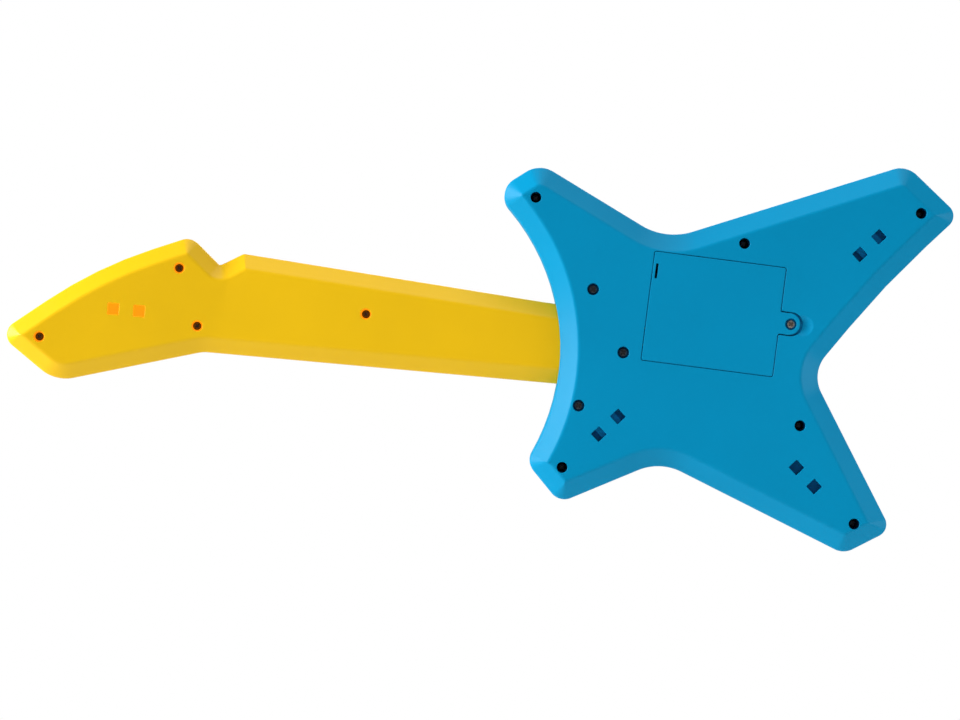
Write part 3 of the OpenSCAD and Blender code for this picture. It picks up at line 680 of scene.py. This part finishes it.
def body_back():
    back = half_casing("body_back_casing", BODY_CORNERS, 0, BODY_WALL, BACK_BEVEL, 1.1)
    _, squares = openings("body_back_shell", 0)
    deep, shallow = screw_places("body_screws"), screw_places("neck_joint_screws")
    housing, hollow = pocket_parts(squares, 0, nearest_pairs(squares))
    root = BODY_WALL - 0.1
    posts(housing, deep, root, TOWER_TOP, TOWER_R)
    posts(housing, [p for p in shallow if p[0] > 0], root, NECK_BACK_Y - 0.3, JOINT_TOWER_R)
    posts(housing, [p for p in shallow if p[0] < 0], root, HEEL_Y - 0.2, JOINT_TOWER_R)
    combined(back, housing, "UNION")
    for x, z in deep:
        drill(hollow, circle(x, z, DEEP_R), 0, SCREW_SEAT_Y)
    for x, z in shallow:
        drill(hollow, circle(x, z, SHALLOW_R), 0, JOINT_SEAT_Y)
    drill(hollow, shape(door_corners()), 0, BODY_WALL + 0.1)
    combined(back, hollow, "DIFFERENCE")
    shanks = Skin()
    for x, z in deep + shallow:
        bore(shanks, circle(x, z, SHANK_HOLE), 2, TOWER_TOP + 1)
    combined(back, finger_scoop(shanks), "DIFFERENCE")
    combined(back, neck_entry(), "DIFFERENCE")
    finished(back, "casing", "blue_plastic", "body_back_shell")


def finger_scoop(skin):
    """Spherical dent beyond the tab's round end, where a fingertip lifts the door."""
    radius = (SCOOP_R**2 + SCOOP_DEEP**2) / (2 * SCOOP_DEEP)
    profile = [(SCOOP_R + 0.9, -0.5), (SCOOP_R + 0.35, -0.02), (SCOOP_R, 0.06)]
    for k in range(1, SCOOP_RINGS):
        y = SCOOP_DEEP * (1 - (1 - k / SCOOP_RINGS) ** 2)
        profile.append((math.sqrt(radius**2 - (y + radius - SCOOP_DEEP) ** 2), y))
    return skin.sweep(circle(SCREW_X + TAB_R, SCREW_Z, 0), profile)


def body_front():
    front = half_casing("body_front_casing", BODY_CORNERS, BODY_FRONT_Y, BODY_WALL, FRONT_BEVEL, 1.0)
    inner = BODY_FRONT_Y - BODY_WALL
    casing_places, board_places = screw_places("body_screws"), screw_places("pcb_screws")
    bosses = posts(Skin(), casing_places, inner + 1, TOWER_TOP + BOSS_GAP, BOSS_R)
    posts(bosses, board_places, inner + 1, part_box("main_pcb")[1].y / MM, BOARD_BOSS_R)
    combined(front, bosses, "UNION")
    cuts = Skin()
    for x, z in casing_places:
        bore(cuts, circle(x, z, PILOT_R, FEWER_POINTS), TOWER_TOP - 1, FRONT_BORE_END)
    for x, z in board_places:
        bore(cuts, circle(x, z, BOARD_PILOT_R, FEWER_POINTS), BOARD_BORE_Y, FRONT_BORE_END)
    combined(front, cuts, "DIFFERENCE")
    combined(front, front_openings(inner), "DIFFERENCE")
    combined(front, neck_entry(), "DIFFERENCE")
    finished(front, "casing", "blue_plastic", "body_front_shell")


def front_openings(inner):
    """Slots and holes of the front: strum bar, speaker, effect buttons, power switch, light and lever."""
    cuts, face = Skin(), BODY_FRONT_Y
    slot_h = tallness("strum_bar") + 2 * STRUM_CLEAR
    strum = box_shape(*centre_of("strum_bar"), STRUM_SLOT_W, slot_h, STRUM_SLOT_R)
    drill(cuts, strum, face, inner - 4)
    drill(cuts, circle(*centre_of("speaker_cone"), SPEAKER_R), face, inner - 1)
    for k in (1, 2, 3):
        drill(cuts, circle(*centre_of(f"effect_button_{k}"), EFFECT_R), face, OPENING_END)
    drill(cuts, box_shape(*POWER_SLOT), face, OPENING_END)
    drill(cuts, circle(*centre_of("light_lens"), LENS_R), face, OPENING_END)
    drill(cuts, circle(*centre_of("whammy_screw"), LEVER_R), face, OPENING_END)
    return cuts


def bent(obj):
    """Turns the part of a neck casing beyond the crease back by the head's tilt."""
    bm = bmesh.new()
    bm.from_mesh(obj.data)
    everything = list(bm.verts) + list(bm.edges) + list(bm.faces)
    crease = (HEAD_X * MM, 0, 0)
    bmesh.ops.bisect_plane(bm, geom=everything, dist=TOUCHING, plane_co=crease, plane_no=(1, 0, 0))
    for vert in bm.verts:
        p = vert.co / MM
        if abs(p.x - HEAD_X) < SAME_PLACE:
            p.x = HEAD_X - (p.y - NECK_BACK_Y) * math.tan(HEAD_TILT / 2)
        else:
            p = leaned(p)
        vert.co = p * MM
    bm.to_mesh(obj.data)
    bm.free()
    return obj


def neck_holes():
    """Screw holes and pockets in the back of the neck and head, before the head leans back."""
    rounds, squares = openings("neck_back_shell", NECK_BACK_Y, upright)
    return [r for r in rounds if r[0] < 0], squares


def heel_bar(places):
    """Bar across the neck's end that the two joint screws at negative x go into."""
    zs = [z for x, z in places if x < 0]
    return bore(Skin(), box_shape(HEEL_X, (zs[0] + zs[1]) / 2, HEEL_W, abs(zs[0] - zs[1]) + HEEL_W, HEEL_R),
        HEEL_Y, HEEL_TOP)


def neck_back():
    rounds, squares = neck_holes()
    back = half_casing("neck_back_casing", NECK_CORNERS, NECK_BACK_Y, NECK_WALL, NECK_BEVEL, 1.2)
    housing, hollow = pocket_parts(squares, NECK_BACK_Y, nearest_pairs(squares))
    posts(housing, [r[:2] for r in rounds], NECK_BACK_Y + NECK_WALL - 0.1, NECK_TOWER_TOP, NECK_TOWER_R)
    heel = screw_places("neck_joint_screws")
    posts(housing, [p for p in heel if p[0] > 0], NECK_BACK_Y + 1, HEEL_TOP, HEEL_BOSS_R)
    combined(back, housing, "UNION")
    combined(back, heel_bar(heel), "UNION")
    for x, z, r in rounds:
        drill(hollow, circle(x, z, r), NECK_BACK_Y, NECK_SEAT_Y)
    combined(back, hollow, "DIFFERENCE")
    shanks = Skin()
    for x, z, _ in rounds:
        bore(shanks, circle(x, z, SHANK_HOLE, FEW_POINTS), NECK_BACK_Y + 2, NECK_SHANK_END)
    for x, z in heel:
        bore(shanks, circle(x, z, PILOT_R, FEW_POINTS), NECK_BACK_Y - 1, HEEL_BORE_END)
    combined(back, shanks, "DIFFERENCE")
    finished(bent(back), "casing", "yellow_plastic", "neck_back_shell")


def neck_front():
    rounds, _ = neck_holes()
    front = half_casing("neck_front_casing", NECK_CORNERS, NECK_FRONT_Y, NECK_WALL, FRET_BEVEL, 0.7)
    inner = NECK_FRONT_Y - NECK_WALL
    bosses = posts(Skin(), [r[:2] for r in rounds], inner + 1, NECK_TOWER_TOP + BOSS_GAP, NECK_BOSS_R)
    combined(front, bosses, "UNION")
    cuts = Skin()
    for x, z, _ in rounds:
        bore(cuts, circle(x, z, PILOT_R, FEWER_POINTS), *NECK_BORE)
    for k in range(1, 6):
        x, _ = centre_of(f"fret_button_{k}")
        drill(cuts, box_shape(x, 0, *FRET_SLOT), NECK_FRONT_Y, inner - 1)
    for x, z in TUNERS:
        drill(cuts, circle(x, z, TUNER_R, FEW_POINTS), NECK_FRONT_Y, inner - 1)
    bore(cuts, box_shape(*NECK_CHANNEL), PART_Y - 1, NECK_CHANNEL_END)
    combined(front, cuts, "DIFFERENCE")
    finished(bent(front), "casing", "yellow_plastic", "neck_front_shell")


# ---- Battery door ----
def lid_corners():
    """Outline of the lid: the opening less a gap, with the tab's round end a little shorter."""
    x0, x1, z0, z1 = DOOR_X0 + GAP, DOOR_X1 - GAP, DOOR_Z0 + GAP, DOOR_Z1 - GAP
    r = TAB_R - 2 * GAP
    low, high, end = SCREW_Z - r, SCREW_Z + r, SCREW_X + r - TAB_SHORT
    return [(x0, z0, 1), (x1, z0, 1), (x1, low, 1), (end, low, r), (end, high, r), (x1, high, 1),
        (x1, z1, 1), (x0, z1, 1)]


def door():
    edges = [(-0.6, 0), (0, 0), (0, DOOR_T), (-0.4, DOOR_T)]
    lid = Skin().sweep(shape(lid_corners()), softened(edges, {1: 0.5})).made("battery_door_lid")
    combined(lid, posts(Skin(), [(SCREW_X, SCREW_Z)], DOOR_T - 0.5, TAB_BOSS_TOP, TAB_BOSS_R), "UNION")
    for z in HOOK_Z:
        combined(lid, hook(z), "UNION")
    cuts = Skin()
    drill(cuts, circle(SCREW_X, SCREW_Z, DOOR_SCREW_R), 0, DOOR_SCREW_SEAT, 0.4)
    drill(cuts, box_shape(*SLIT), 0, 3, 0.15)
    combined(lid, cuts, "DIFFERENCE")
    combined(lid, bore(Skin(), circle(SCREW_X, SCREW_Z, DOOR_SHANK_R, FEW_POINTS), 1, 5), "DIFFERENCE")
    finished(lid, "battery_door", "blue_plastic", "battery_door")


def hook(z):
    """Curved tongue under the lip of the opening, about the axis that the door tips round."""
    skin = Skin()
    loop = []
    for radius, ends in ((HOOK_R, (DOOR_T - 0.3, LIP_R - 0.1)), (LIP_R, (LIP_R - 0.1, DOOR_T - 0.3))):
        first, last = (math.asin(y / radius) for y in ends)
        if radius == HOOK_R:
            last = math.pi - last
        else:
            first = math.pi - first
        turns = [first + (last - first) * k / HOOK_STEPS for k in range(HOOK_STEPS + 1)]
        loop += [(DOOR_X0 + radius * math.cos(a), radius * math.sin(a)) for a in turns]
    return skin.tube([[skin.at(x, y, z + side) for x, y in loop] for side in (-HOOK_HALF_W, HOOK_HALF_W)])


# ---- Screws, cells and springs ----
# Of a screw: its head's radius and height, its shank's radius and length.
BODY_SCREW = (2.5, 1.8, 1.4, 16)
JOINT_SCREW = (2.7, 1.8, 1.4, 14)
NECK_SCREW = (2.25, 1.8, 1.4, 8.5)
BOARD_SCREW = (2.2, 1.4, 1.2, 8)
DOOR_SCREW = (2.3, 1.6, 1.45, 8.3)
DOOR_SCREW_Y = 0.4
DOME_TURNS = (0.25, 0.5, 0.75, 1.0, 1.25, 1.45)  # radians from the middle of a head
CROSS_REACH, CROSS_ARM = 1.15, 0.27  # a cross tip to tip and across an arm, in radii of its head
PLAIN_SHANK = 1.2  # between a head and its thread
THREAD_PITCH = 1.0
THREAD_ROOT = 0.78  # of the thread's radius
CELLS = (("aa_cell_upper", 1), ("aa_cell_middle", -1), ("aa_cell_lower", 1))
CONTACT_H = 1.3  # of the raised contact of a cell
BAND = 9  # of a cell's jacket at the contact end
SPRING_TURNS = 3
TURN_STEPS = 28
SPRING_LENGTH = 3.6
SPRING_R, SPRING_FLARE = 3, 2  # radius at the cell, and how much wider the other end is
SPRING_WIRE_R = 0.4
SPRING_GAP = 0.6  # from a cell to the middle of its spring's wire
WIRE_SIDES = 10


def cross_shape(x, z, reach, width):
    """Plus sign about (x, z), its arms on the diagonals."""
    a, b = reach / 2, width / 2
    plus = [(a, -b), (a, b), (b, b), (b, a), (-b, a), (-b, b), (-a, b), (-a, -b), (-b, -b), (-b, -a),
        (b, -a), (b, -b)]
    spun = [turned(Vector(p), math.radians(45)) for p in plus]
    return shape([(x + p.x, z + p.y, 0.1) for p in spun])


def pan_head(y, head, head_h):
    """Profile of a domed head whose top is at y."""
    dome = head_h * 0.55
    crown = [(head * math.sin(a), y + dome * (1 - math.cos(a))) for a in DOME_TURNS]
    return crown + [(head, y + dome), (head, y + head_h - 0.15), (head - 0.15, y + head_h)]


def threads(y0, y1, radius):
    """Profile of a threaded shank that ends in a point."""
    root, ridges = radius * THREAD_ROOT, []
    for k in range(int((y1 - y0 - 2) / THREAD_PITCH)):
        y = y0 + k * THREAD_PITCH
        ridges += [(root, y + 0.1), (root, y + 0.45 * THREAD_PITCH), (radius, y + 0.7 * THREAD_PITCH)]
    return ridges + [(radius * 0.75, y1 - 1.6), (0.1, y1)]


def screw_set(name, places, y, sizes):
    """Pan-head screws with cross recesses at those places, the tops of their heads at y."""
    head, head_h, shank, length = sizes
    metal_skin, recess = Skin(), Skin()
    end = y + head_h + length
    for x, z in places:
        profile = pan_head(y, head, head_h) + [(shank, y + head_h), (shank, y + head_h + PLAIN_SHANK)]
        metal_skin.sweep(circle(x, z, 0, FEW_POINTS), profile + threads(y + head_h + PLAIN_SHANK, end, shank))
        cross = cross_shape(x, z, head * CROSS_REACH, head * CROSS_ARM)
        recess.sweep(cross, [(0.1, y - 0.3), (0, y + 0.3), (-0.1, y + 1.1)])
    return combined(metal_skin.made(name), recess, "DIFFERENCE")


def neck_screw_set():
    """The screws of the neck, those in the head leaning back with it."""
    seats = [r[:2] for r in neck_holes()[0]]
    made = screw_set("neck_screw_set", seats, NECK_SEAT_Y - NECK_SCREW[1], NECK_SCREW)
    for vert in made.data.vertices:
        vert.co = leaned(vert.co / MM) * MM
    return made


def all_screws():
    # the body, joint and neck screws sit deep in holes and get the darker steel: painted shade
    made = screw_set("body_screw_set", screw_places("body_screws"), SCREW_SEAT_Y - BODY_SCREW[1], BODY_SCREW)
    finished(made, "casing", "screw_steel", "body_screws", look="dark_steel")
    seats = screw_places("neck_joint_screws")
    made = screw_set("joint_screw_set", seats, JOINT_SEAT_Y - JOINT_SCREW[1], JOINT_SCREW)
    finished(made, "casing", "screw_steel", "neck_joint_screws", look="dark_steel")
    finished(neck_screw_set(), "casing", "screw_steel", "neck_screws", look="dark_steel")
    seats = screw_places("pcb_screws")
    made = screw_set("board_screw_set", seats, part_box("pcb_screws")[0].y / MM, BOARD_SCREW)
    finished(made, "casing", "screw_steel", "pcb_screws")
    made = screw_set("door_screw", [(SCREW_X, SCREW_Z)], DOOR_SCREW_Y, DOOR_SCREW)
    finished(made, "door_screw", "screw_steel", "battery_door_screw")


def lathe_x(x, y, z, way, profile):
    """A turned part along X from x; profile is a list of (radius, distance)."""
    skin = Skin()
    turns = [2 * math.pi * k / CIRCLE_POINTS for k in range(CIRCLE_POINTS)]
    rings = []
    for r, along in profile:
        rings.append([skin.at(x + way * along, y + r * math.cos(a), z + r * math.sin(a)) for a in turns])
    return skin.tube(rings)


def cell(node, way):
    """AA cell: jacket, crimped ends and the raised contact at the end that way points to."""
    low, high = (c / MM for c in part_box(node))
    r = (high.z - low.z) / 2
    length = high.x - low.x
    x = low.x if way > 0 else high.x
    shoulder = length - CONTACT_H
    flat_end = [(r - 3.2, 0.25), (r - 2.8, 0), (r - 0.9, 0), (r - 0.4, 0.15), (r, 0.5)]
    jacket = [(r, shoulder - BAND), (r, shoulder - 0.5), (r - 0.25, shoulder - 0.1), (r - 0.7, shoulder)]
    crimp = [(r - 1.2, shoulder - 0.25), (3.4, shoulder - 0.25)]
    contact = [(2.75, shoulder), (2.75, length - 0.3), (2.45, length)]
    profile = flat_end + jacket + crimp + contact
    made = lathe_x(x, (low.y + high.y) / 2, (low.z + high.z) / 2, way, profile).made(node + "_turned")
    finished(made, "casing", "cell_jacket", node)
    made.data.materials.append(finish_of("plated_metal"))
    made.data.materials.append(finish_of("cell_band"))
    for face in made.data.polygons:
        along = abs(face.center.x / MM - x)
        if along < 0.45 or along > shoulder - 0.35:
            face.material_index = 1
        elif along > shoulder - BAND:
            face.material_index = 2


def wire(skin, points, radius):
    """Round wire along points in space."""
    rings = []
    for i, p in enumerate(points):
        d = (points[min(i + 1, len(points) - 1)] - points[max(i - 1, 0)]).normalized()
        a = d.cross(Vector((1, 0.013, 0.007))).normalized()
        b = d.cross(a)
        turns = [2 * math.pi * k / WIRE_SIDES for k in range(WIRE_SIDES)]
        rings.append([skin.at(*(p + (a * math.cos(t) + b * math.sin(t)) * radius)) for t in turns])
    skin.tube(rings)


def contact_springs():
    """Conical springs that press on the flat end of each cell."""
    skin = Skin()
    for node, way in CELLS:
        low, high = (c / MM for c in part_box(node))
        x = low.x - SPRING_GAP if way > 0 else high.x + SPRING_GAP
        points = []
        for k in range(SPRING_TURNS * TURN_STEPS + 1):
            part = k / (SPRING_TURNS * TURN_STEPS)
            angle = 2 * math.pi * k / TURN_STEPS
            r = SPRING_R + SPRING_FLARE * part
            y = (low.y + high.y) / 2 + r * math.cos(angle)
            z = (low.z + high.z) / 2 + r * math.sin(angle)
            points.append(Vector((x - way * SPRING_LENGTH * part, y, z)))
        wire(skin, points, SPRING_WIRE_R)
    finished(skin.made("contact_springs"), "casing", "plated_metal", "battery_springs", angle=60)


# ---- CAD nodes that are kept ----
def eased(node, width):
    """Rounds the edges of a kept CAD node and shades its round faces smooth."""
    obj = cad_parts[node]
    weld = obj.modifiers.new("weld", "WELD")
    weld.merge_threshold = EASED_WELD
    bevel = obj.modifiers.new("bevel", "BEVEL")
    bevel.width = width * MM
    bevel.segments = 2
    bevel.limit_method = "ANGLE"
    bevel.angle_limit = math.radians(35)
    weighted = obj.modifiers.new("weighted", "WEIGHTED_NORMAL")
    weighted.keep_sharp = False
    obj.data.polygons.foreach_set("use_smooth", [True] * len(obj.data.polygons))


EDGES = {  # width of the rounded edges: nodes
    0.6: ("fret_button_1", "fret_button_2", "fret_button_3", "fret_button_4", "fret_button_5", "strum_bar"),
    0.5: ("effect_button_1", "effect_button_2", "effect_button_3", "power_switch_knob", "nut_bar",
        "pickup_cover"),
    0.4: ("pickguard", "bridge_cover", "speaker_grille", "whammy_lever", "tuner_caps", "battery_tray"),
    0.25: ("fret_bars", "light_lens", "whammy_screw", "light_led", "fret_pad", "effect_pad",
        "speaker_frame", "speaker_magnet", "strum_switches", "power_switch_body", "pcb_components",
        "screw_retainer_ring"),
    0.1: ("main_pcb", "neck_pcb", "effect_pcb", "strum_shaft", "speaker_cone", "battery_plates",
        "neck_ribbon"),
}


def ease_kept_nodes():
    for width, nodes in EDGES.items():
        for node in nodes:
            eased(node, width)


body_back()
all_screws()
for cell_node, cell_way in CELLS:
    cell(cell_node, cell_way)
contact_springs()
ease_kept_nodes()
body_front()
neck_back()
neck_front()
door()


# ---- Camera, floor and light ----
VIEW_ROLL = math.radians(7.3)
VIEW_WIDTH = 518.0
VIEW_DISTANCE = 2500.0
VIEW_SHIFT = (0.0061, -0.0271)  # metres from the object's middle to the middle of the view
FILM_WIDTH = 36
FLOOR_DROP = 270.0  # from the object down to the floor, which stays out of the main view
FLOOR_CORNERS = ((-800, -620), (700, -620), (700, 620), (-800, 620))
ROOM_LIGHT = 0.285
centre = (cad_low + cad_high) / 2


def make_camera():
    """Looks straight at the back of the guitar, rolled as the guitar lies in the view."""
    data = bpy.data.cameras.new("camera")
    data.sensor_width = FILM_WIDTH
    data.lens = FILM_WIDTH * VIEW_DISTANCE / VIEW_WIDTH
    data.clip_end = 20
    camera = bpy.data.objects.new("camera", data)
    aim = Vector((centre.x + VIEW_SHIFT[0], cad_low.y, centre.z + VIEW_SHIFT[1]))
    camera.location = aim - Vector((0, VIEW_DISTANCE * MM, 0))
    camera.rotation_euler = (math.radians(90), -VIEW_ROLL, 0)
    bpy.context.scene.collection.objects.link(camera)
    bpy.context.scene.camera = camera


def make_floor():
    skin = Skin()
    top = cad_low.z / MM - FLOOR_DROP
    skin.face([skin.at(x, y, top) for x, y in FLOOR_CORNERS])
    floor = skin.made("floor")
    look = Shader("pale_floor")
    look.colour(look.ramp(look.noise(3, 2), [(0.3, linear(232, 232, 230)), (0.7, linear(238, 238, 236))]))
    look.rough(look.span(look.noise(40, 3), 0.6, 0.75))
    floor.data.materials.append(look.material)


def make_world():
    """Soft light from all round, and plain white where the camera sees past the floor."""
    world = bpy.data.worlds.new("studio")
    bpy.context.scene.world = world
    world.use_nodes = True
    tree = world.node_tree
    seen = tree.nodes["Background"]
    soft_light = tree.nodes.new("ShaderNodeBackground")
    mix = tree.nodes.new("ShaderNodeMixShader")
    ray = tree.nodes.new("ShaderNodeLightPath")
    soft_light.inputs["Color"].default_value = (0.98, 0.99, 1, 1)
    soft_light.inputs["Strength"].default_value = ROOM_LIGHT
    seen.inputs["Color"].default_value = (1, 1, 1, 1)
    tree.links.new(ray.outputs["Is Camera Ray"], mix.inputs["Fac"])
    tree.links.new(soft_light.outputs["Background"], mix.inputs[1])
    tree.links.new(seen.outputs["Background"], mix.inputs[2])
    tree.links.new(mix.outputs["Shader"], tree.nodes["World Output"].inputs["Surface"])


def soft_box(name, offset, size, watts):
    """Area light at an offset from the object's middle, in metres, that looks at it."""
    data = bpy.data.lights.new(name, "AREA")
    data.energy, data.size = watts, size
    light = bpy.data.objects.new(name, data)
    light.location = centre + Vector(offset)
    light.rotation_mode = "QUATERNION"
    light.rotation_quaternion = (-Vector(offset)).to_track_quat("-Z", "Y")
    bpy.context.scene.collection.objects.link(light)


make_camera()
make_floor()
bpy.context.scene.view_settings.view_transform = "Standard"
make_world()
soft_box("left_soft_box", (-2.2, -0.35, 0.25), 1.8, 92)
soft_box("upper_soft_box", (0.2, -0.4, 1.6), 1.4, 10)
soft_box("right_soft_box", (1.8, -0.4, 0.1), 1.4, 12)
soft_box("far_soft_box", (0.4, 1.5, 0.9), 1.2, 14)
